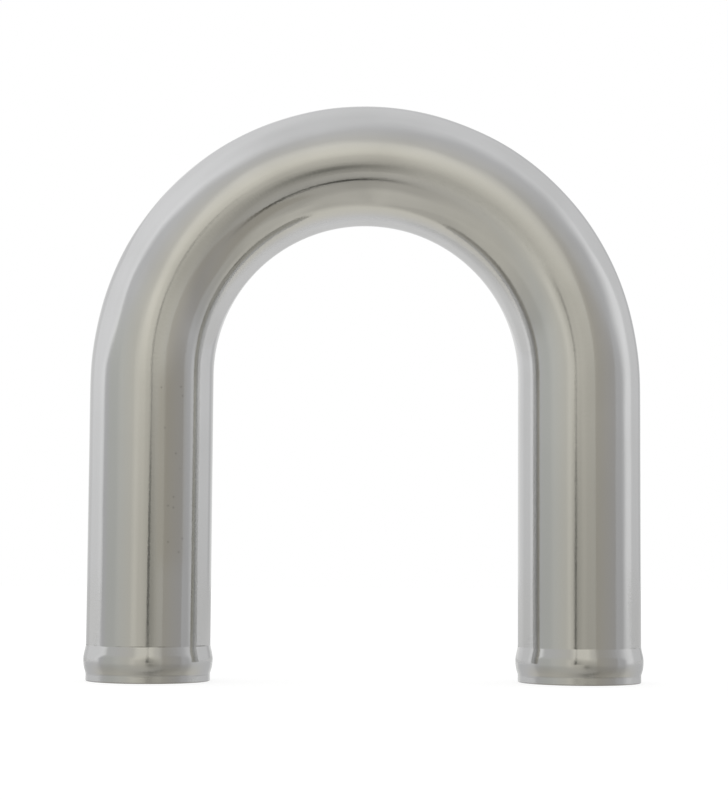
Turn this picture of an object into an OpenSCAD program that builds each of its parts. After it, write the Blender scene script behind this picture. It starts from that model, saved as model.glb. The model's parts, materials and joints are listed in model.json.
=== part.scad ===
// Return bend: one metal tube turned back on itself through half a circle, with two straight legs.
// Near each cut end the wall is rolled out into a shallow bead, so that a hose clamped over it can't pull off.
// It stands on its cut ends: X runs from leg to leg, Y from front to back, Z up, and the origin lies on the
// ground midway between the legs.

/* [Tube] */
// Outer diameter of the tube
tube_od = 50.8; // [40:0.1:80]
// Thickness of the wall
wall = 1.65; // [1:0.05:2.5]

/* [Bend] */
// Radius of the bend, to the middle of the tube
bend_r = 88.9; // [60:0.1:200]
// Length of each straight leg, from the bend to the cut end
leg_l = 126; // [40:0.5:300]

/* [Hose bead] */
// How far the bead stands out from the tube
bead_h = 1; // [0.4:0.1:1.6]
// Plain lip between the cut end and the bead
lip_l = 2.8; // [1.5:0.1:10]
// Length of the bead's flank on the lip side, from foot to crown
lip_flank_l = 5.7; // [4.5:0.1:9]
// Length of the bead's flank on the leg side, from foot to crown
leg_flank_l = 6.2; // [4.5:0.1:9]
// Radius of the soft fillet at the bead's foot on the lip side
lip_fillet_r = 2.4; // [0.5:0.1:2.5]
// Radius of the tight fillet at the bead's foot on the leg side
leg_fillet_r = 1.2; // [0.5:0.1:2.5]

/* [Cut ends] */
// Chamfer that deburring leaves on each cut edge
edge_break = 0.3; // [0.1:0.05:0.45]

/* [Hidden] */
$fn = 96;
// Straight steps that stand for each arc of the bead's outline
arc_steps = 5;
metal_colour = [0.76, 0.76, 0.73];

tube_r = tube_od / 2;
bore_r = tube_r - wall;
// Heights of the cut end and of the bead's two feet, measured from the seam between the bend and the leg
end_z = -leg_l;
lip_foot_z = end_z + lip_l;
leg_foot_z = lip_foot_z + lip_flank_l + leg_flank_l;

function reversed(points) = [for (i = [len(points) - 1 : -1 : 0]) points[i]];
function without_first(points) = [for (i = [1 : len(points) - 1]) points[i]];

// Sum of the radii of a flank's two arcs, which start and end along the tube and climb bead_h over flank_l.
function arcs_r(flank_l) = (flank_l ^ 2 + bead_h ^ 2) / (2 * bead_h);

// Points [radius, height] of one flank, from its foot to its crown: a hollow fillet arc, then the crown's arc.
// way is 1 where the flank climbs towards the leg and -1 where it climbs towards the lip.
// depth is how far the line lies under the tube's outer surface, so 0 and wall give the wall's two sides.
function flank(foot_z, way, flank_l, fillet_r, depth) =
    let (
        crown_r = arcs_r(flank_l) - fillet_r,
        sweep = asin(flank_l / arcs_r(flank_l)),
        crown_z = foot_z + way * flank_l,
        hollow = fillet_r + depth,
        round = crown_r - depth
    )
    concat(
        [for (i = [0 : arc_steps]) let (a = sweep * i / arc_steps)
            [tube_r + fillet_r - hollow * cos(a), foot_z + way * hollow * sin(a)]],
        [for (i = [arc_steps - 1 : -1 : 0]) let (a = sweep * i / arc_steps)
            [tube_r + bead_h - crown_r + round * cos(a), crown_z - way * round * sin(a)]]
    );

// The whole bead, from its foot on the lip side over the crown to its foot on the leg side.
function bead(depth) = concat(
    flank(lip_foot_z, 1, lip_flank_l, lip_fillet_r, depth),
    without_first(reversed(flank(leg_foot_z, -1, leg_flank_l, leg_fillet_r, depth)))
);

// Section of one leg's wall, hanging from the seam at height 0: up the outside and down the inside.
function leg_outline() = concat(
    [[tube_r - edge_break, end_z], [tube_r, end_z + edge_break]],
    bead(0),
    [[tube_r, 0], [bore_r, 0]],
    reversed(bead(wall)),
    [[bore_r, end_z + edge_break], [bore_r + edge_break, end_z]]
);

module leg() {
    rotate_extrude() polygon(leg_outline());
}

// The half circle of tube that stands on the seams with the legs.
module bend() {
    rotate([90, 0, 0]) rotate_extrude(angle = 180) translate([bend_r, 0]) difference() {
        circle(r = tube_r);
        circle(r = bore_r);
    }
}

module return_bend() {
    color(metal_colour) translate([0, 0, leg_l]) union() {
        bend();
        for (side = [-1, 1]) translate([side * bend_r, 0, 0]) leg();
    }
}

return_bend();
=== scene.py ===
import json
import math
from collections import namedtuple

import bpy
import numpy as np
from mathutils import Matrix, Vector


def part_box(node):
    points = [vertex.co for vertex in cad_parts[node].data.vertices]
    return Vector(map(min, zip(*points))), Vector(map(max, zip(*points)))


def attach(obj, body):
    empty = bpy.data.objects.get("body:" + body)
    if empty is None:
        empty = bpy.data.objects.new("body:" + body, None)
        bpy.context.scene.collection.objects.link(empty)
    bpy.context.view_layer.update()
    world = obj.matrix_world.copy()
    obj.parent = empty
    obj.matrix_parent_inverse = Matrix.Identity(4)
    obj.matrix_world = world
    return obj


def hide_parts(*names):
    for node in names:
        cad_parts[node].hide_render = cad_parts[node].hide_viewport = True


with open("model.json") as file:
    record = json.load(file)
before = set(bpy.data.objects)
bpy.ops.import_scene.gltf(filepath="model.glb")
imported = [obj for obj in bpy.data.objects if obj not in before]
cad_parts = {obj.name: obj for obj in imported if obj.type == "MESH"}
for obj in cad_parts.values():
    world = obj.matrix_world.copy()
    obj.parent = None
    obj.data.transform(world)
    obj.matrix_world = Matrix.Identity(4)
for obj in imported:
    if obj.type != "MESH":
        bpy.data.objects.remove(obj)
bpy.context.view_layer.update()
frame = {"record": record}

MM = 0.001

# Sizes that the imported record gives, in metres
mounts = {mount["name"]: mount for mount in frame["record"]["mounts"]}
lip = mounts["left_hose_end"]
lip_half = lip["dims"]["length_mm"] * MM / 2
top_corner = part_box("return_bend")[1]
BEND_R = abs(lip["pos_m"][0])
TUBE_R = lip["dims"]["r_mm"] * MM
BORE_R = mounts["left_bore"]["dims"]["r_mm"] * MM
WALL = TUBE_R - BORE_R
EDGE_BREAK = lip["pos_m"][2] - lip_half
LIP_L = lip["pos_m"][2] + lip_half
LEG_L = top_corner.z - BEND_R - TUBE_R
BEAD_H = top_corner.x - BEND_R - TUBE_R
BEND_L = math.pi * BEND_R
WHOLE_L = 2 * LEG_L + BEND_L

# The bead: its flanks from foot to crown, the fillets at its feet and the rounding of its crown on each side
LIP_FLANK_L = 5.7 * MM
LEG_FLANK_L = 6.2 * MM
LIP_FILLET_R = 2.4 * MM
LEG_FILLET_R = 1.2 * MM
LIP_CROWN_R = 14.2 * MM
LEG_CROWN_R = 14.0 * MM
BEAD_TOP = LIP_L + LIP_FLANK_L + LEG_FLANK_L

# The broken edge of the cut end bulges: how far its middle lies in and up, in shares of EDGE_BREAK
EDGE_MIDDLE_IN, EDGE_MIDDLE_UP = 0.27, 0.45

# Bending flattens the outside of the bend a little, starting just before the seam with each leg
EXTRADOS_FLAT = 0.8 * MM
FLAT_RUN_IN = 22 * MM
FLAT_LEAD = 0.3 * FLAT_RUN_IN

# Faint ripples on the tube's outer side: their height, the share of it on the legs, the cosines between which
# they start, and the waves that they are made of (per_metre and twist in radians per metre along the tube)
RIPPLE_H = 0.045 * MM
RIPPLE_ON_LEGS = 0.25
RIPPLE_SIDE = (0.1, 0.7)
Wave = namedtuple("Wave", "share per_metre phase skew lobes twist")
RIPPLE_WAVES = (
    Wave(share=1.0, per_metre=150, phase=0.0, skew=1.1, lobes=6, twist=31),
    Wave(share=0.7, per_metre=71, phase=0.6, skew=0.0, lobes=9, twist=47),
    Wave(share=0.5, per_metre=263, phase=-1.9, skew=0.0, lobes=13, twist=-58),
)

# Points around the tube, rings along each stretch and steps in each arc of the bead
AROUND = 160
BEND_RINGS = 150
LEG_RINGS = 44
ARC_STEPS = 9
INNER_BEND_RINGS = 72
INNER_LEG_RINGS = 10

# The camera, fitted to the outline in the photograph, which is 800 pixels high
CAMERA_AT = (-34.2 * MM, -870 * MM, 49.1 * MM)
CAMERA_TILT = math.radians(4.41)
CAMERA_PAN = math.radians(2.19)
CAMERA_ROLL = math.radians(0.375)
FOCAL_PIXELS = 2099.0
IMAGE_H = 800
SENSOR = 36.0


def smoothstep(x, low, high):
    t = min(max((x - low) / (high - low), 0.0), 1.0)
    return t * t * (3.0 - 2.0 * t)


# The tube's shape

def flank(foot, way, length, fillet_r, crown_r, depth):
    """Points (radius, height) of one flank: a fillet arc from its foot, a straight slope, the crown's arc.

    way is 1 where the flank climbs towards the leg and -1 where it climbs towards the lip.
    depth is how far the line lies under the tube's outer surface.
    """
    arcs_r = fillet_r + crown_r
    slope = math.atan2(BEAD_H - arcs_r, length) + math.asin(arcs_r / math.hypot(length, BEAD_H - arcs_r))
    hollow, hollow_at = fillet_r + depth, TUBE_R + fillet_r
    crest, crest_at = crown_r - depth, TUBE_R + BEAD_H - crown_r
    crown = foot + way * length
    angles = [slope * i / ARC_STEPS for i in range(ARC_STEPS + 1)]
    fillet = [(hollow_at - hollow * math.cos(a), foot + way * hollow * math.sin(a)) for a in angles]
    top = [(crest_at + crest * math.cos(a), crown - way * crest * math.sin(a)) for a in reversed(angles)]
    return fillet + top


def bead(depth):
    """The whole bead, from its foot on the lip side to its foot on the leg side."""
    lip_side = flank(LIP_L, 1, LIP_FLANK_L, LIP_FILLET_R, LIP_CROWN_R, depth)
    leg_side = flank(BEAD_TOP, -1, LEG_FLANK_L, LEG_FILLET_R, LEG_CROWN_R, depth)
    return lip_side + leg_side[-2::-1]


def outer_leg_profile():
    """Points (radius, height above the cut end) up the outside of a leg, to the start of the bend."""
    rim = [(TUBE_R - EDGE_BREAK, 0.0), (TUBE_R - EDGE_BREAK * EDGE_MIDDLE_IN, EDGE_BREAK * EDGE_MIDDLE_UP),
           (TUBE_R, EDGE_BREAK), (TUBE_R, EDGE_BREAK * 2), (TUBE_R, LIP_L - EDGE_BREAK)]
    ridge = bead(0.0)
    start = ridge[-1][1]
    rest = [(TUBE_R, start + (LEG_L - start) * k / LEG_RINGS) for k in range(1, LEG_RINGS)]
    return rim + ridge + [(TUBE_R, start + EDGE_BREAK)] + rest


def inner_leg_profile():
    """Points (radius, height above the cut end) up the inside of a leg, to the start of the bend."""
    rim = [(BORE_R + EDGE_BREAK, 0.0), (BORE_R, EDGE_BREAK)]
    ridge = bead(WALL)
    start = ridge[-1][1]
    rest = [(BORE_R, start + (LEG_L - start) * k / INNER_LEG_RINGS) for k in range(1, INNER_LEG_RINGS)]
    return rim + ridge + rest


def stations(profile, radius, bend_rings):
    """The whole tube as (radius, run): run is the length along the centre line from the left cut end."""
    bend = [(radius, LEG_L + BEND_L * k / bend_rings) for k in range(bend_rings + 1)]
    return profile + bend + [(r, WHOLE_L - z) for r, z in reversed(profile)]


def centre_line(run):
    """Centre and outward direction of the tube at a length along its centre line."""
    if run < LEG_L:
        return Vector((-BEND_R, 0, run)), Vector((-1, 0, 0))
    if run > LEG_L + BEND_L:
        return Vector((BEND_R, 0, WHOLE_L - run)), Vector((1, 0, 0))
    angle = math.pi - (run - LEG_L) / BEND_R
    out = Vector((math.cos(angle), 0, math.sin(angle)))
    return Vector((0, 0, LEG_L)) + out * BEND_R, out


def flattening(run):
    """Share of the bend's flattening at a length along the centre line: none on most of a leg."""
    into = min(run - LEG_L, LEG_L + BEND_L - run)
    return smoothstep(into, -FLAT_LEAD, FLAT_RUN_IN)


def ripple(run, turn):
    """Height of the faint ripples that drawing and bending leave in the wall, in shares of RIPPLE_H."""
    height = 0.0
    for wave in RIPPLE_WAVES:
        along = math.sin(run * wave.per_metre + wave.phase + wave.skew * math.cos(turn))
        height += wave.share * along * math.sin(wave.lobes * turn + run * wave.twist)
    return height


def ring_points(run, radius, outer):
    """One ring of the tube's points around its centre line."""
    centre, out = centre_line(run)
    front = Vector((0, -1, 0))
    flat = flattening(run)
    past_bead = smoothstep(min(run, WHOLE_L - run), BEAD_TOP, 2 * BEAD_TOP)
    wave = (flat * (1 - RIPPLE_ON_LEGS) + RIPPLE_ON_LEGS) * past_bead
    ring = []
    for k in range(AROUND):
        turn = 2 * math.pi * k / AROUND
        c, s = math.cos(turn), math.sin(turn)
        r = radius
        if outer:
            r -= EXTRADOS_FLAT * flat * max(c, 0.0) ** 2
            r += RIPPLE_H * wave * smoothstep(c, *RIPPLE_SIDE) * ripple(run, turn)
        ring.append(centre + out * (r * c) + front * (r * s))
    return ring


def band(a, b):
    """Faces between two rings that start at points a and b."""
    return [(a + k, b + k, b + (k + 1) % AROUND, a + (k + 1) % AROUND) for k in range(AROUND)]


def build_tube():
    """The tube as one closed mesh, with its unrolled coordinates stored for the material."""
    outer = stations(outer_leg_profile(), TUBE_R, BEND_RINGS)
    inner = stations(inner_leg_profile(), BORE_R, INNER_BEND_RINGS)
    points, unrolled = [], []
    for wall, is_outer in ((outer, True), (inner, False)):
        for radius, run in wall:
            points += ring_points(run, radius, is_outer)
            for k in range(AROUND):
                turn = 2 * math.pi * k / AROUND
                unrolled.append((radius * math.cos(turn), radius * math.sin(turn), run))
    rings = [AROUND * i for i in range(len(outer) + len(inner))]
    outer_rings, inner_rings = rings[:len(outer)], rings[len(outer):]
    faces = []
    for a, b in zip(outer_rings, outer_rings[1:]):
        faces += band(a, b)
    for a, b in zip(inner_rings, inner_rings[1:]):
        faces += band(b, a)
    faces += band(inner_rings[0], outer_rings[0]) + band(outer_rings[-1], inner_rings[-1])
    mesh = bpy.data.meshes.new("tube")
    mesh.from_pydata(points, [], faces)
    attribute = mesh.attributes.new("unrolled", "FLOAT_VECTOR", "POINT")
    attribute.data.foreach_set("vector", np.array(unrolled, np.float32).ravel())
    mesh.shade_smooth()
    obj = bpy.data.objects.new("tube", mesh)
    bpy.context.scene.collection.objects.link(obj)
    return obj


# Node helpers

WHITE = (1.0, 1.0, 1.0, 1.0)
Point = namedtuple("Point", "x y z")


class Graph:
    """Adds nodes to the tree of a material or of the world."""

    def __init__(self, owner):
        owner.use_nodes = True
        self.tree = owner.node_tree

    def put(self, kind, inputs=None, **settings):
        """A new node, with its settings and with its inputs set or linked."""
        node = self.tree.nodes.new(kind)
        for key, value in settings.items():
            setattr(node, key, value)
        for key, value in (inputs or {}).items():
            self.feed(node.inputs[key], value)
        return node

    def feed(self, socket, value):
        """Links a socket to another one, or sets its value."""
        if isinstance(value, bpy.types.NodeSocket):
            self.tree.links.new(value, socket)
        else:
            socket.default_value = value

    def calc(self, operation, *values):
        """A Math node's result; with more than two values the operation runs along them."""
        result = values[0]
        if len(values) == 1:
            return self.put("ShaderNodeMath", {0: result}, operation=operation).outputs[0]
        for value in values[1:]:
            result = self.put("ShaderNodeMath", {0: result, 1: value}, operation=operation).outputs[0]
        return result

    def ease(self, value, low, high):
        """A smooth step from 0 at low to 1 at high; low may be the larger one."""
        step = self.put("ShaderNodeMapRange", {0: value, 1: low, 2: high}, interpolation_type="SMOOTHSTEP")
        return step.outputs[0]

    def within(self, value, places):
        """1 between the two inner places, easing to 0 at the outer ones."""
        start, full, fade, end = places
        return self.calc("MULTIPLY", self.ease(value, start, full), self.ease(value, end, fade))

    def between(self, factor, a, b):
        """A mix of two numbers."""
        return self.put("ShaderNodeMix", {0: factor, 2: a, 3: b}).outputs[0]

    def blend(self, factor, a, b):
        """A mix of two colours."""
        return self.put("ShaderNodeMix", {0: factor, 6: a, 7: b}, data_type="RGBA").outputs[2]

    def weighted(self, values, weights):
        """Named values times their weights, added up."""
        parts = [self.calc("MULTIPLY", values[name], weight) for name, weight in weights.items()]
        return self.calc("ADD", *parts)

    def noise(self, vector, scale, detail, stretch):
        """A noise texture, between 0 and 1, with its grain drawn out along an axis of small stretch."""
        mapped = self.put("ShaderNodeMapping", {"Vector": vector, "Scale": stretch}).outputs[0]
        node = self.put("ShaderNodeTexNoise", {"Vector": mapped, "Scale": scale, "Detail": detail})
        return node.outputs["Fac"]

    def position(self):
        """The x, y and z of the point that is shaded, in the scene."""
        place = self.put("ShaderNodeNewGeometry").outputs["Position"]
        return Point(*self.put("ShaderNodeSeparateXYZ", {0: place}).outputs)


# The metal

METAL_LIGHT = (0.700, 0.700, 0.695, 1.0)
METAL_DULL = (0.655, 0.655, 0.647, 1.0)
METAL_SATIN = (0.750, 0.750, 0.742, 1.0)
METAL_RUBBED = (0.820, 0.820, 0.810, 1.0)
METAL_WORN = (0.603, 0.603, 0.595, 1.0)
# Darker and warmer, for the patch over the pits
METAL_DARK_PATCH = (0.560, 0.548, 0.515, 1.0)
# Painted shade for the creases at the beads' feet and the rim of the cut end, and the colour of the pits
METAL_DARK = (0.260, 0.255, 0.240, 1.0)
EDGE_TINT = (0.88, 0.88, 0.88, 1.0)

# Its textures: scale per metre, detail, and the stretch across the tube (twice) and along it
TEXTURES = {
    "cloud": (34.0, 4.0, (1.0, 1.0, 1.0)),
    "lines": (900.0, 3.0, (1.0, 1.0, 0.02)),
    "wide_lines": (170.0, 3.0, (1.0, 1.0, 0.03)),
    "around": (1500.0, 3.0, (0.25, 0.25, 1.0)),
    "grain": (800.0, 3.0, (1.0, 1.0, 1.0)),
    "satin_grain": (3000.0, 3.0, (1.0, 1.0, 1.0)),
    "breaks": (60.0, 5.0, (1.0, 1.0, 0.2)),
}

# How the textures turn the light colour into the dull one
TINT_SHARES = {"cloud": 0.7, "wide_lines": 0.3}
TINT_RANGE = (0.35, 0.7)

# Roughness: the least, what the clouds and the lines add to it, and that of the satin places
LEAST_ROUGHNESS = 0.08
CLOUD_ROUGHNESS = 0.05
CLOUD_RANGE = (0.3, 0.75)
LINE_ROUGHNESS = 0.03
SATIN_ROUGHNESS = 0.262

# Fine relief: its height, and the share of each texture in it
SCRATCH_H = 0.016 * MM
RELIEF_SHARES = {"lines": 0.7, "around": 0.5, "grain": 0.7}
SATIN_RELIEF = 2.2

# Painted shade: broken dark lines in the creases at the beads' feet, fainter on the lip side, and a dark line
# of painted shade along the rim of the cut end
FOOT_SHADE_W = 0.35 * MM
FOOT_SHADE_CORE_W = 0.3 * FOOT_SHADE_W
LIP_FOOT_SHADE_SHARE = 0.35
FOOT_SHADE_BREAKS = (0.47, 0.63)
# Painted shade along the rim of the cut end: where it eases in, and its strength
RIM_SHADE_EDGE = (1.6 * EDGE_BREAK, 0.8 * EDGE_BREAK)
RIM_SHADE_SHARE = 0.6
DARK_SHARE = 0.8

# Pits: scattered by cells of this scale, of these sizes in cells, only where the clouds are thick
PIT_SCALE = 110.0
PIT_SIZE = (0.065, 0.025)
PIT_CLOUDS = (0.46, 0.54)
PIT_SHARE = 0.45

# Worn places: where each starts, is full, fades and ends, in metres from the left cut end along the tube (RUN)
# and in tube radii outward from its middle line (ACROSS). Pits and polish lie on the front of the left leg, and
# satin, rubbed lighter along its inner side, on the right half of the bend
PITTED_RUN = (0.040, 0.055, 0.120, 0.150)
PITTED_ACROSS = (-0.66, -0.54, -0.22, -0.12)
# Over the pits the metal is darker and warmer, by this share
DARK_PATCH_SHARE = 0.7
POLISHED_RUN = (0.115, 0.140, 0.148, 0.178)
POLISHED_ACROSS = (-0.5, -0.2, 0.0, 0.2)
SATIN_RUN = (0.268, 0.292, 0.352, 0.374)
SATIN_ACROSS = (-0.52, -0.27, 0.03, 0.28)
RUBBED_ACROSS = (-0.36, -0.27, -0.23, -0.14)
FRONT_START = (0.0, 0.1)

# The lip side of each bead is satin too, the legs get duller towards their ends, and the bore is dull
ROLLED_EDGE = (LIP_L + LIP_FLANK_L, LIP_L + 0.6 * LIP_FLANK_L)
ROLLED_SHARE = 0.7
WORN_END = (0.17, 0.03)
BORE_EDGE = (TUBE_R - 0.275 * MM, TUBE_R - 0.625 * MM)

Skin = namedtuple("Skin", "x run from_end across front inside texture")
Wear = namedtuple("Wear", "dark stained polished satin rubbed rolled worn")


def tube_skin(graph):
    """A point's place on the tube, and its textures there. x, run and from_end are in metres."""
    calc = graph.calc
    stored = graph.put("ShaderNodeAttribute", attribute_name="unrolled", attribute_type="GEOMETRY")
    unrolled = stored.outputs["Vector"]
    x, y, run = graph.put("ShaderNodeSeparateXYZ", {0: unrolled}).outputs
    radius = calc("SQRT", calc("ADD", calc("MULTIPLY", x, x), calc("MULTIPLY", y, y)))
    return Skin(
        x=x,
        run=run,
        from_end=calc("MINIMUM", run, calc("SUBTRACT", WHOLE_L, run)),
        across=calc("DIVIDE", x, TUBE_R),
        front=graph.ease(calc("DIVIDE", y, TUBE_R), *FRONT_START),
        inside=graph.ease(radius, *BORE_EDGE),
        texture={name: graph.noise(unrolled, *values) for name, values in TEXTURES.items()},
    )


def painted_foot_and_rim_shade(graph, skin):
    """Painted shade: broken dark lines in the creases at both feet of each bead, and along the rim of the cut
    end.
    """
    calc, ease = graph.calc, graph.ease
    # Painted shade in the creases at the beads' feet, broken up by noise
    lip_off, leg_off = [calc("ABSOLUTE", calc("SUBTRACT", skin.from_end, at)) for at in (LIP_L, BEAD_TOP)]
    lip_foot = calc("MULTIPLY", ease(lip_off, FOOT_SHADE_W, FOOT_SHADE_CORE_W), LIP_FOOT_SHADE_SHARE)
    feet = calc("MAXIMUM", lip_foot, ease(leg_off, FOOT_SHADE_W, FOOT_SHADE_CORE_W))
    # Painted shade along the rim of the cut end
    rim = calc("MULTIPLY", ease(skin.from_end, *RIM_SHADE_EDGE), RIM_SHADE_SHARE)
    return calc("MAXIMUM", calc("MULTIPLY", feet, ease(skin.texture["breaks"], *FOOT_SHADE_BREAKS)), rim)


def pits(graph, skin, pitted):
    """Small dark pits in the pitted place."""
    flat = graph.put("ShaderNodeCombineXYZ", {0: skin.x, 1: skin.run}).outputs[0]
    cells = graph.put("ShaderNodeTexVoronoi", {"Vector": flat, "Scale": PIT_SCALE}, voronoi_dimensions="2D")
    dots = graph.ease(cells.outputs["Distance"], *PIT_SIZE)
    return graph.calc("MULTIPLY", dots, graph.ease(skin.texture["cloud"], *PIT_CLOUDS), pitted, PIT_SHARE)


def tube_wear(graph, skin):
    """How far the painted shade lines, the pits, the darker patch and each worn place show at a point, from 0
    to 1.
    """
    calc, within = graph.calc, graph.within
    pitted = calc("MULTIPLY", within(skin.run, PITTED_RUN), within(skin.across, PITTED_ACROSS), skin.front)
    polished = calc("MULTIPLY", within(skin.run, POLISHED_RUN), within(skin.across, POLISHED_ACROSS),
                    skin.front)
    satin = calc("MULTIPLY", within(skin.run, SATIN_RUN), within(skin.across, SATIN_ACROSS))
    # The painted shade lines at the beads' feet and along the cut end's rim, together with the pits
    marks = calc("MAXIMUM", painted_foot_and_rim_shade(graph, skin), pits(graph, skin, pitted))
    return Wear(
        dark=calc("MULTIPLY", marks, DARK_SHARE),
        stained=calc("MULTIPLY", pitted, DARK_PATCH_SHARE),
        polished=polished,
        satin=satin,
        rubbed=calc("MULTIPLY", satin, within(skin.across, RUBBED_ACROSS)),
        rolled=calc("MULTIPLY", graph.ease(skin.from_end, *ROLLED_EDGE), ROLLED_SHARE),
        worn=calc("MAXIMUM", skin.inside, graph.ease(skin.from_end, *WORN_END)),
    )


def metal_colour(graph, skin, wear):
    """The bare metal, then the darker patch and each worn place over it, and last the dark colour for the pits
    and the painted shade lines.
    """
    tint = graph.weighted(skin.texture, TINT_SHARES)
    colour = graph.blend(graph.ease(tint, *TINT_RANGE), METAL_LIGHT, METAL_DULL)
    colour = graph.blend(wear.worn, colour, METAL_WORN)
    # A darker, warmer patch over the pits
    colour = graph.blend(wear.stained, colour, METAL_DARK_PATCH)
    colour = graph.blend(graph.calc("MAXIMUM", wear.satin, wear.polished), colour, METAL_SATIN)
    colour = graph.blend(wear.rubbed, colour, METAL_RUBBED)
    # Last the dark colour: painted shade in the bead-foot creases and along the rim, and the pits
    return graph.blend(wear.dark, colour, METAL_DARK)


def metal_roughness(graph, skin, wear):
    calc = graph.calc
    clouds = calc("MULTIPLY", graph.ease(skin.texture["cloud"], *CLOUD_RANGE), CLOUD_ROUGHNESS)
    lines = calc("MULTIPLY", skin.texture["lines"], LINE_ROUGHNESS)
    satin = calc("MAXIMUM", wear.satin, wear.rolled, wear.dark, skin.inside)
    return graph.between(satin, calc("ADD", LEAST_ROUGHNESS, clouds, lines), SATIN_ROUGHNESS)


def metal_relief(graph, skin, wear):
    satin = graph.calc("MULTIPLY", skin.texture["satin_grain"], wear.satin, SATIN_RELIEF)
    height = graph.calc("ADD", graph.weighted(skin.texture, RELIEF_SHARES), satin)
    bump = graph.put("ShaderNodeBump", {"Height": height, "Strength": 1.0, "Distance": SCRATCH_H})
    return bump.outputs[0]


def metal_material():
    """Drawn aluminium tube: faint lines along it, fine marks around it, painted shade lines at the beads' feet
    and along the cut end's rim, and worn places.
    """
    material = bpy.data.materials.new("tube_metal")
    graph = Graph(material)
    shader = graph.tree.nodes["Principled BSDF"]
    skin = tube_skin(graph)
    wear = tube_wear(graph, skin)
    graph.feed(shader.inputs["Base Color"], metal_colour(graph, skin, wear))
    graph.feed(shader.inputs["Roughness"], metal_roughness(graph, skin, wear))
    graph.feed(shader.inputs["Normal"], metal_relief(graph, skin, wear))
    shader.inputs["Metallic"].default_value = 1.0
    shader.inputs["Specular Tint"].default_value = EDGE_TINT
    return material


# The studio, by direction as seen from the object. Azimuth runs from the camera's side to the right, and
# elevation up; off_axis is the angle from the camera's side, and up says how high a ray points around that
# axis, from -1 to 1. Angles are in degrees. A pair in brackets gives where something starts and is full.

STUDIO_LEVEL = 0.88
ROOM_LEVEL = 0.61
FAR = 400.0

# Lighter and darker surfaces in the room: azimuth range, elevation range, softness of each, change of level
ROOM_PANELS = {
    "upper_wall": ((-FAR, FAR), (-9, FAR), (1, 5), 0.10),
    "right_wall": ((3, FAR), (-FAR, 38), (5, 6), -0.11),
    "right_wall_top": ((15, FAR), (38, FAR), (18, 6), -0.06),
    "stand": ((-8, 3), (-9, 5), (3, 3), -0.05),
    "left_wall": ((-FAR, -60), (-FAR, 12), (6, 6), -0.06),
    "left_strip": ((-29, -20), (-14, 13), (4, 5), 0.10),
    "lamp": ((-21, 12), (12, 37), (5, 7), 0.18),
    "lamp_foot": ((-21, -9), (4, 14), (3, 4), 0.10),
    "lamp_side": ((4, 25), (8, 34), (5, 8), 0.14),
    "low_middle": ((-25, 8), (-54, -30), (12, 6), -0.10),
    "low_right": ((52, 84), (-62, -38), (6, 6), 0.10),
    "low_left": ((-100, -55), (-56, -30), (10, 8), 0.08),
    "table": ((-5, 75), (-FAR, -56), (45, 6), 0.11),
}

# Round dark spots under the lens: azimuth and elevation of the middle, size along each, change of level
LENS_SPOTS = {
    "under_lens": ((5.0, -11.0), (4.5, 5.5), -0.27),
    "beside_lens": ((14.0, -10.0), (12.0, 9.0), -0.10),
}

# The dark front edge of the table, which bends up to the right
TABLE_EDGE_ELEVATION = -36.0
TABLE_EDGE_AZIMUTHS = (-16.0, 6.0, 26.0, 38.0)
TABLE_EDGE_WIDTH = (2.6, 1.0)
TABLE_EDGE_CHANGE = -0.48
TABLE_RISE_FROM = 4.0
TABLE_RISE = 0.0125

# The white sweep beside and behind the object: where left turns to right, and what is low and what is overhead
RIGHT_X = (-0.64, 0.64)
LOW_UP = (0.30, 0.05)
TOP_UP = (0.5, 0.95)

# How far off the axis the sweep starts, and how softly: nearer the camera overhead, later low down
LEFT_START, LEFT_LOW_START, LEFT_TOP_START = 80.0, 96.0, 65.0
RIGHT_START, RIGHT_LOW_START, RIGHT_TOP_START = 82.0, 86.0, 80.0
LEFT_SOFT, RIGHT_SOFT, RIGHT_LOW_SOFT, TOP_SOFT = 4.0, 16.0, 8.0, 14.0

# Its level on the left, brightest along the start
LEFT_LEVEL, LEFT_EDGE_LEVEL = 1.01, 1.09
LEFT_EDGE = (16.0, 3.0)

# Its level on the right: a window that is dimmer and ends earlier higher up, then a dimmer wall in two steps
WINDOW_LEVEL, WINDOW_TOP_LEVEL = 1.08, 0.90
WINDOW_LEVEL_UP = (0.55, 0.85)
WINDOW_END, WINDOW_TOP_END = 106.0, 92.0
WINDOW_END_UP = (0.35, 0.65)
WINDOW_SOFT = 3.0
RIGHT_LEVEL, RIGHT_BACK_LEVEL = 0.87, 0.70
RIGHT_BACK = (137.0, 146.0)

# Its level overhead and below the horizon
OVERHEAD, OVERHEAD_LEVEL = (52.0, 80.0), 0.86
BELOW, BELOW_LEVEL = (0.0, -6.0), 0.78

# Tints: the room in front and the ground are warm, the left wall is faintly green, the sweep faintly blue
ROOM_TINT = (1.035, 1.0, 0.885, 1.0)
LEFT_TINT = (0.985, 1.0, 0.958, 1.0)
SWEEP_TINT = (0.997, 0.999, 1.014, 1.0)
WARM_ROOM = (75.0, 10.0)
WARM_GROUND, WARM_GROUND_END, WARM_GROUND_SHARE = (2.0, -38.0), (135.0, 95.0), 0.9
LEFT_WALL_X, LEFT_WALL_END, LEFT_WALL_TOP = (-0.25, -0.5), (92.0, 76.0), (25.0, 8.0)

# The white backdrop in glancing reflections, weaker in those that point up to the right
GLANCING = (145.0, 165.0)
RIGHT_RIM_X, RIGHT_RIM_Z, RIGHT_RIM_SHARE = (0.08, 0.26), (0.0, 0.15), 0.8

# These keep the inverse sines and cosines in range, and the division off zero
ALMOST_ONE = 0.99999
ALMOST_ZERO = 1e-5

View = namedtuple("View", "x z azimuth elevation off_axis up")


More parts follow.
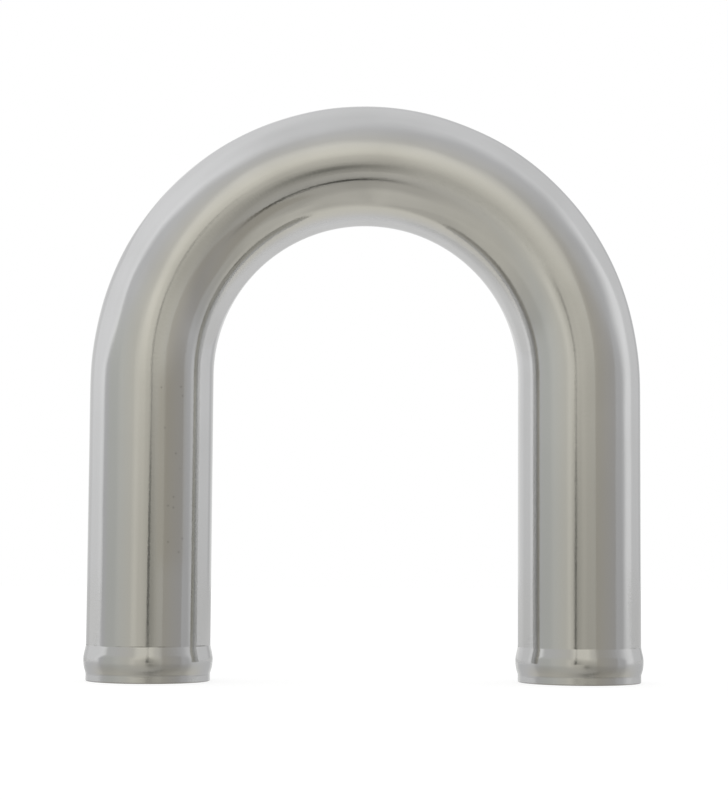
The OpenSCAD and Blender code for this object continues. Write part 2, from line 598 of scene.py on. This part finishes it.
def ray_view(graph):
    """The direction of a ray that leaves the scene."""
    calc = graph.calc
    ray = graph.put("ShaderNodeTexCoord").outputs["Generated"]
    x, y, z = graph.put("ShaderNodeSeparateXYZ", {0: ray}).outputs
    forward = calc("MULTIPLY", y, -ALMOST_ONE)
    from_axis = calc("SQRT", calc("ADD", calc("MULTIPLY", x, x), calc("MULTIPLY", z, z), ALMOST_ZERO))
    return View(
        x=x,
        z=z,
        azimuth=calc("DEGREES", calc("ARCTAN2", x, forward)),
        elevation=calc("DEGREES", calc("ARCSINE", calc("MULTIPLY", z, ALMOST_ONE))),
        off_axis=calc("DEGREES", calc("ARCCOSINE", forward)),
        up=calc("DIVIDE", z, from_axis),
    )


def panel(graph, view, azimuths, elevations, softness, change):
    edges = []
    for angle, (first, last), soft in zip((view.azimuth, view.elevation), (azimuths, elevations), softness):
        edges.append(graph.within(angle, (first - soft, first + soft, last - soft, last + soft)))
    return graph.calc("MULTIPLY", change, *edges)


def spot(graph, view, middle, size, change):
    calc = graph.calc
    parts = []
    for angle, centre, width in zip((view.azimuth, view.elevation), middle, size):
        parts.append(calc("POWER", calc("DIVIDE", calc("SUBTRACT", angle, centre), width), 2.0))
    return calc("MULTIPLY", calc("EXPONENT", calc("MULTIPLY", calc("ADD", *parts), -1.0)), change)


def table_edge(graph, view):
    calc = graph.calc
    past = calc("MAXIMUM", calc("SUBTRACT", view.azimuth, TABLE_RISE_FROM), 0.0)
    rise = calc("MULTIPLY", calc("POWER", past, 2.0), TABLE_RISE)
    off = calc("ABSOLUTE", calc("SUBTRACT", view.elevation, calc("ADD", rise, TABLE_EDGE_ELEVATION)))
    return calc("MULTIPLY", TABLE_EDGE_CHANGE, graph.ease(off, *TABLE_EDGE_WIDTH),
                graph.within(view.azimuth, TABLE_EDGE_AZIMUTHS))


def room_level(graph, view):
    """Level of the dimmer room on the camera's side."""
    spots = [spot(graph, view, *values) for values in LENS_SPOTS.values()]
    panels = [panel(graph, view, *values) for values in ROOM_PANELS.values()]
    return graph.calc("ADD", ROOM_LEVEL, *spots, table_edge(graph, view), *panels)


def sweep_start(graph, view, right):
    """Where off the axis the white sweep starts, and half the width over which it does."""
    between = graph.between
    low = graph.ease(view.up, *LOW_UP)
    top = graph.ease(view.up, *TOP_UP)
    left_start = between(top, between(low, LEFT_START, LEFT_LOW_START), LEFT_TOP_START)
    right_start = between(top, between(low, RIGHT_START, RIGHT_LOW_START), RIGHT_TOP_START)
    side_soft = between(right, LEFT_SOFT, between(low, RIGHT_SOFT, RIGHT_LOW_SOFT))
    return between(right, left_start, right_start), between(top, side_soft, TOP_SOFT)


def sweep_level(graph, view, right, start):
    """Level of the white sweep."""
    calc, ease, between = graph.calc, graph.ease, graph.between
    left_edge = ease(view.off_axis, *[calc("ADD", start, past) for past in LEFT_EDGE])
    left_level = between(left_edge, LEFT_LEVEL, LEFT_EDGE_LEVEL)
    window = between(ease(view.up, *WINDOW_LEVEL_UP), WINDOW_LEVEL, WINDOW_TOP_LEVEL)
    window_end = between(ease(view.up, *WINDOW_END_UP), WINDOW_END, WINDOW_TOP_END)
    past_window = ease(view.off_axis, calc("SUBTRACT", window_end, WINDOW_SOFT),
                       calc("ADD", window_end, WINDOW_SOFT))
    right_level = between(past_window, window, RIGHT_LEVEL)
    right_level = between(ease(view.off_axis, *RIGHT_BACK), right_level, RIGHT_BACK_LEVEL)
    level = between(right, left_level, right_level)
    level = between(ease(view.elevation, *OVERHEAD), level, OVERHEAD_LEVEL)
    return between(ease(view.elevation, *BELOW), level, BELOW_LEVEL)


def studio_level(graph, view):
    """Level of the room in front, and of the white sweep beside and behind the object."""
    right = graph.ease(view.x, *RIGHT_X)
    start, soft = sweep_start(graph, view, right)
    share = graph.ease(view.off_axis, graph.calc("SUBTRACT", start, soft), graph.calc("ADD", start, soft))
    return graph.between(share, room_level(graph, view), sweep_level(graph, view, right, start))


def studio_tint(graph, view):
    calc, ease = graph.calc, graph.ease
    ground = calc("MULTIPLY", ease(view.elevation, *WARM_GROUND), ease(view.off_axis, *WARM_GROUND_END),
                  WARM_GROUND_SHARE)
    warm = calc("MAXIMUM", ease(view.off_axis, *WARM_ROOM), ground)
    left_wall = calc("MULTIPLY", ease(view.x, *LEFT_WALL_X), ease(view.off_axis, *LEFT_WALL_END),
                     ease(view.elevation, *LEFT_WALL_TOP))
    return graph.blend(warm, graph.blend(left_wall, SWEEP_TINT, LEFT_TINT), ROOM_TINT)


def backdrop_share(graph, view):
    """Share of plain white: all that the camera sees, and what the metal mirrors at a glancing angle."""
    calc, ease = graph.calc, graph.ease
    rays = graph.put("ShaderNodeLightPath").outputs
    right_rim = calc("MULTIPLY", ease(view.x, *RIGHT_RIM_X), ease(view.z, *RIGHT_RIM_Z), RIGHT_RIM_SHARE)
    mirrored = calc("MULTIPLY", rays["Is Glossy Ray"], ease(view.off_axis, *GLANCING),
                    calc("SUBTRACT", 1.0, right_rim))
    return calc("MAXIMUM", rays["Is Camera Ray"], rays["Is Transmission Ray"], mirrored)


def studio_world():
    """Soft studio light: a white sweep behind and beside the object, and a dimmer, warmer room in front."""
    world = bpy.data.worlds.new("studio")
    bpy.context.scene.world = world
    graph = Graph(world)
    graph.tree.nodes.clear()
    view = ray_view(graph)
    strength = graph.calc("MULTIPLY", studio_level(graph, view), STUDIO_LEVEL)
    studio = graph.put("ShaderNodeBackground", {"Color": studio_tint(graph, view), "Strength": strength})
    white = graph.put("ShaderNodeBackground", {"Color": WHITE, "Strength": 1.0})
    share = backdrop_share(graph, view)
    mix = graph.put("ShaderNodeMixShader", {0: share, 1: studio.outputs[0], 2: white.outputs[0]})
    graph.put("ShaderNodeOutputWorld", {"Surface": mix.outputs[0]})


# The floor. The metal mirrors it only behind the object, brighter on the left than on the right
FLOOR_SIZE = 6.0
FLOOR_GREY = (0.40, 0.40, 0.40, 1.0)
FLOOR_GLOW = 0.755
MIRRORED_GLOW = (0.55, 0.43)
MIRRORED_GLOW_X = (-0.6, 0.6)
MIRRORED_Y = (0.05, 0.25)


def floor():
    """A plain white floor that keeps a soft shadow."""
    bpy.ops.mesh.primitive_plane_add(size=FLOOR_SIZE, location=(0, 0, 0))
    obj = bpy.context.object
    obj.name = "floor"
    material = bpy.data.materials.new("floor_white")
    graph = Graph(material)
    graph.tree.nodes.clear()
    calc = graph.calc
    at = graph.position()
    rays = graph.put("ShaderNodeLightPath").outputs
    seen = calc("MAXIMUM", rays["Is Camera Ray"], rays["Is Transmission Ray"])
    glossy = rays["Is Glossy Ray"]
    mirrored = graph.between(graph.ease(at.x, *MIRRORED_GLOW_X), *MIRRORED_GLOW)
    strength = calc("ADD", calc("MULTIPLY", seen, FLOOR_GLOW), calc("MULTIPLY", glossy, mirrored))
    matt = graph.put("ShaderNodeBsdfDiffuse", {"Color": FLOOR_GREY})
    glow = graph.put("ShaderNodeEmission", {"Color": WHITE, "Strength": strength})
    white = graph.put("ShaderNodeAddShader", {0: matt.outputs[0], 1: glow.outputs[0]})
    clear = graph.put("ShaderNodeBsdfTransparent")
    in_front = calc("SUBTRACT", 1.0, graph.ease(at.y, *MIRRORED_Y))
    unseen = calc("MULTIPLY", glossy, in_front)
    mix = graph.put("ShaderNodeMixShader", {0: unseen, 1: white.outputs[0], 2: clear.outputs[0]})
    graph.put("ShaderNodeOutputMaterial", {"Surface": mix.outputs[0]})
    obj.data.materials.append(material)


# Cards that only the metal mirrors, in metres, with the share of the view that each covers. In front: a dark
# upright strip whose lower half leans, the faint stand beside it, a board that runs from it towards the left
# leg, and a dim screen far to the right. Behind the left leg: a faint card.
CARD_GREY = (0.09, 0.09, 0.08, 1.0)
STRIP_Y = -0.63
STRIP_X, STRIP_FOOT_X = -0.0605, -0.0775
STRIP_LOW, STRIP_BEND, STRIP_HIGH = -0.03, 0.13, 0.29
STRIP_FOOT_W, STRIP_BEND_W, STRIP_TOP_W = 0.042, 0.034, 0.024
STRIP_FADE = (0.22, 0.06)
STRIP_TOP_FADE = (0.29, 0.23)
STRIP_TOP_COVER = 0.5
STAND_Y = -0.64
STAND_END = 0.14
STAND_COVER = 0.38
STAND_FADE = (0.28, 0.0)
BOARD_NEAR_Y = -0.325
BOARD_HIGH = 0.20
BOARD_COVER = 0.25
SCREEN_Y = -1.46
SCREEN_X = (0.66, 0.72, 3.0, 3.2)
SCREEN_Z = (-1.9, -1.2, 0.5, 1.3)
SCREEN_COVER = 0.21
SCREEN_BROWN = (0.10, 0.06, 0.0, 1.0)
BACK_Y = 0.10
BACK_X = (-0.23, -0.19, -0.06, 0.0)
BACK_LOW, BACK_HIGH = 0.001, 0.24
BACK_COVER = 0.13


def card(name, corners, colour, cover):
    """A flat card that only the metal sees; cover(graph, at) is the share of the view that it takes."""
    mesh = bpy.data.meshes.new(name)
    mesh.from_pydata(corners, [], [range(len(corners))])
    obj = bpy.data.objects.new(name, mesh)
    bpy.context.scene.collection.objects.link(obj)
    material = bpy.data.materials.new(name)
    graph = Graph(material)
    graph.tree.nodes.clear()
    clear = graph.put("ShaderNodeBsdfTransparent")
    shade = graph.put("ShaderNodeEmission", {"Color": colour, "Strength": 1.0})
    share = cover(graph, graph.position())
    mix = graph.put("ShaderNodeMixShader", {0: share, 1: clear.outputs[0], 2: shade.outputs[0]})
    graph.put("ShaderNodeOutputMaterial", {"Surface": mix.outputs[0]})
    mesh.materials.append(material)
    obj.visible_camera = obj.visible_diffuse = obj.visible_shadow = False


def rectangle(left, right, low, high, y):
    return [(left, y, low), (right, y, low), (right, y, high), (left, y, high)]


def strip_cover(graph, at):
    top = graph.calc("MULTIPLY", graph.ease(at.z, *STRIP_TOP_FADE), STRIP_TOP_COVER)
    return graph.calc("MAXIMUM", graph.ease(at.z, *STRIP_FADE), top)


def stand_cover(graph, at):
    across = graph.ease(at.x, STAND_END, STRIP_X)
    return graph.calc("MULTIPLY", STAND_COVER, across, graph.ease(at.z, *STAND_FADE))


def board_cover(graph, at):
    towards_leg = graph.ease(at.y, BOARD_NEAR_Y, STRIP_Y)
    return graph.calc("MULTIPLY", BOARD_COVER, towards_leg, graph.ease(at.z, BOARD_HIGH, BOARD_HIGH / 2))


def screen_cover(graph, at):
    return graph.calc("MULTIPLY", SCREEN_COVER, graph.within(at.x, SCREEN_X), graph.within(at.z, SCREEN_Z))


def back_cover(graph, at):
    return graph.calc("MULTIPLY", BACK_COVER, graph.within(at.x, BACK_X))


def cards():
    levels = ((STRIP_LOW, STRIP_FOOT_X, STRIP_FOOT_W), (STRIP_BEND, STRIP_X, STRIP_BEND_W),
              (STRIP_HIGH, STRIP_X, STRIP_TOP_W))
    left = [(x - width / 2, STRIP_Y, z) for z, x, width in levels]
    right = [(x + width / 2, STRIP_Y, z) for z, x, width in levels]
    card("dark_strip", right + left[::-1], CARD_GREY, strip_cover)
    stand = rectangle(STRIP_X, STAND_END, STRIP_LOW, STRIP_HIGH, STAND_Y)
    card("stand", stand, CARD_GREY, stand_cover)
    share = (BOARD_NEAR_Y + TUBE_R) / (STRIP_Y + TUBE_R)
    far_edge = [(STRIP_FOOT_X, STRIP_Y, STRIP_LOW), (STRIP_X, STRIP_Y, BOARD_HIGH)]
    near_edge = [(share * (x + BEND_R) - BEND_R, BOARD_NEAR_Y, z) for x, _, z in reversed(far_edge)]
    card("board", far_edge + near_edge, CARD_GREY, board_cover)
    screen = rectangle(SCREEN_X[0], SCREEN_X[-1], SCREEN_Z[0], SCREEN_Z[-1], SCREEN_Y)
    card("screen", screen, SCREEN_BROWN, screen_cover)
    back = rectangle(BACK_X[0], BACK_X[-1], BACK_LOW, BACK_HIGH, BACK_Y)
    card("back_card", back, CARD_GREY, back_cover)


def camera():
    data = bpy.data.cameras.new("camera")
    data.sensor_width = SENSOR
    data.lens = FOCAL_PIXELS * SENSOR / IMAGE_H
    obj = bpy.data.objects.new("camera", data)
    bpy.context.scene.collection.objects.link(obj)
    level = math.cos(CAMERA_TILT)
    aim = Vector((math.sin(CAMERA_PAN) * level, math.cos(CAMERA_PAN) * level, math.sin(CAMERA_TILT)))
    turn = aim.to_track_quat("-Z", "Y").to_matrix() @ Matrix.Rotation(CAMERA_ROLL, 3, "Z")
    obj.location = CAMERA_AT
    obj.rotation_euler = turn.to_euler()
    bpy.context.scene.camera = obj


tube = build_tube()
tube.data.materials.append(metal_material())
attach(tube, "root")
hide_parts("return_bend")

studio_world()
floor()
cards()
camera()
bpy.context.scene.view_settings.view_transform = "Standard"
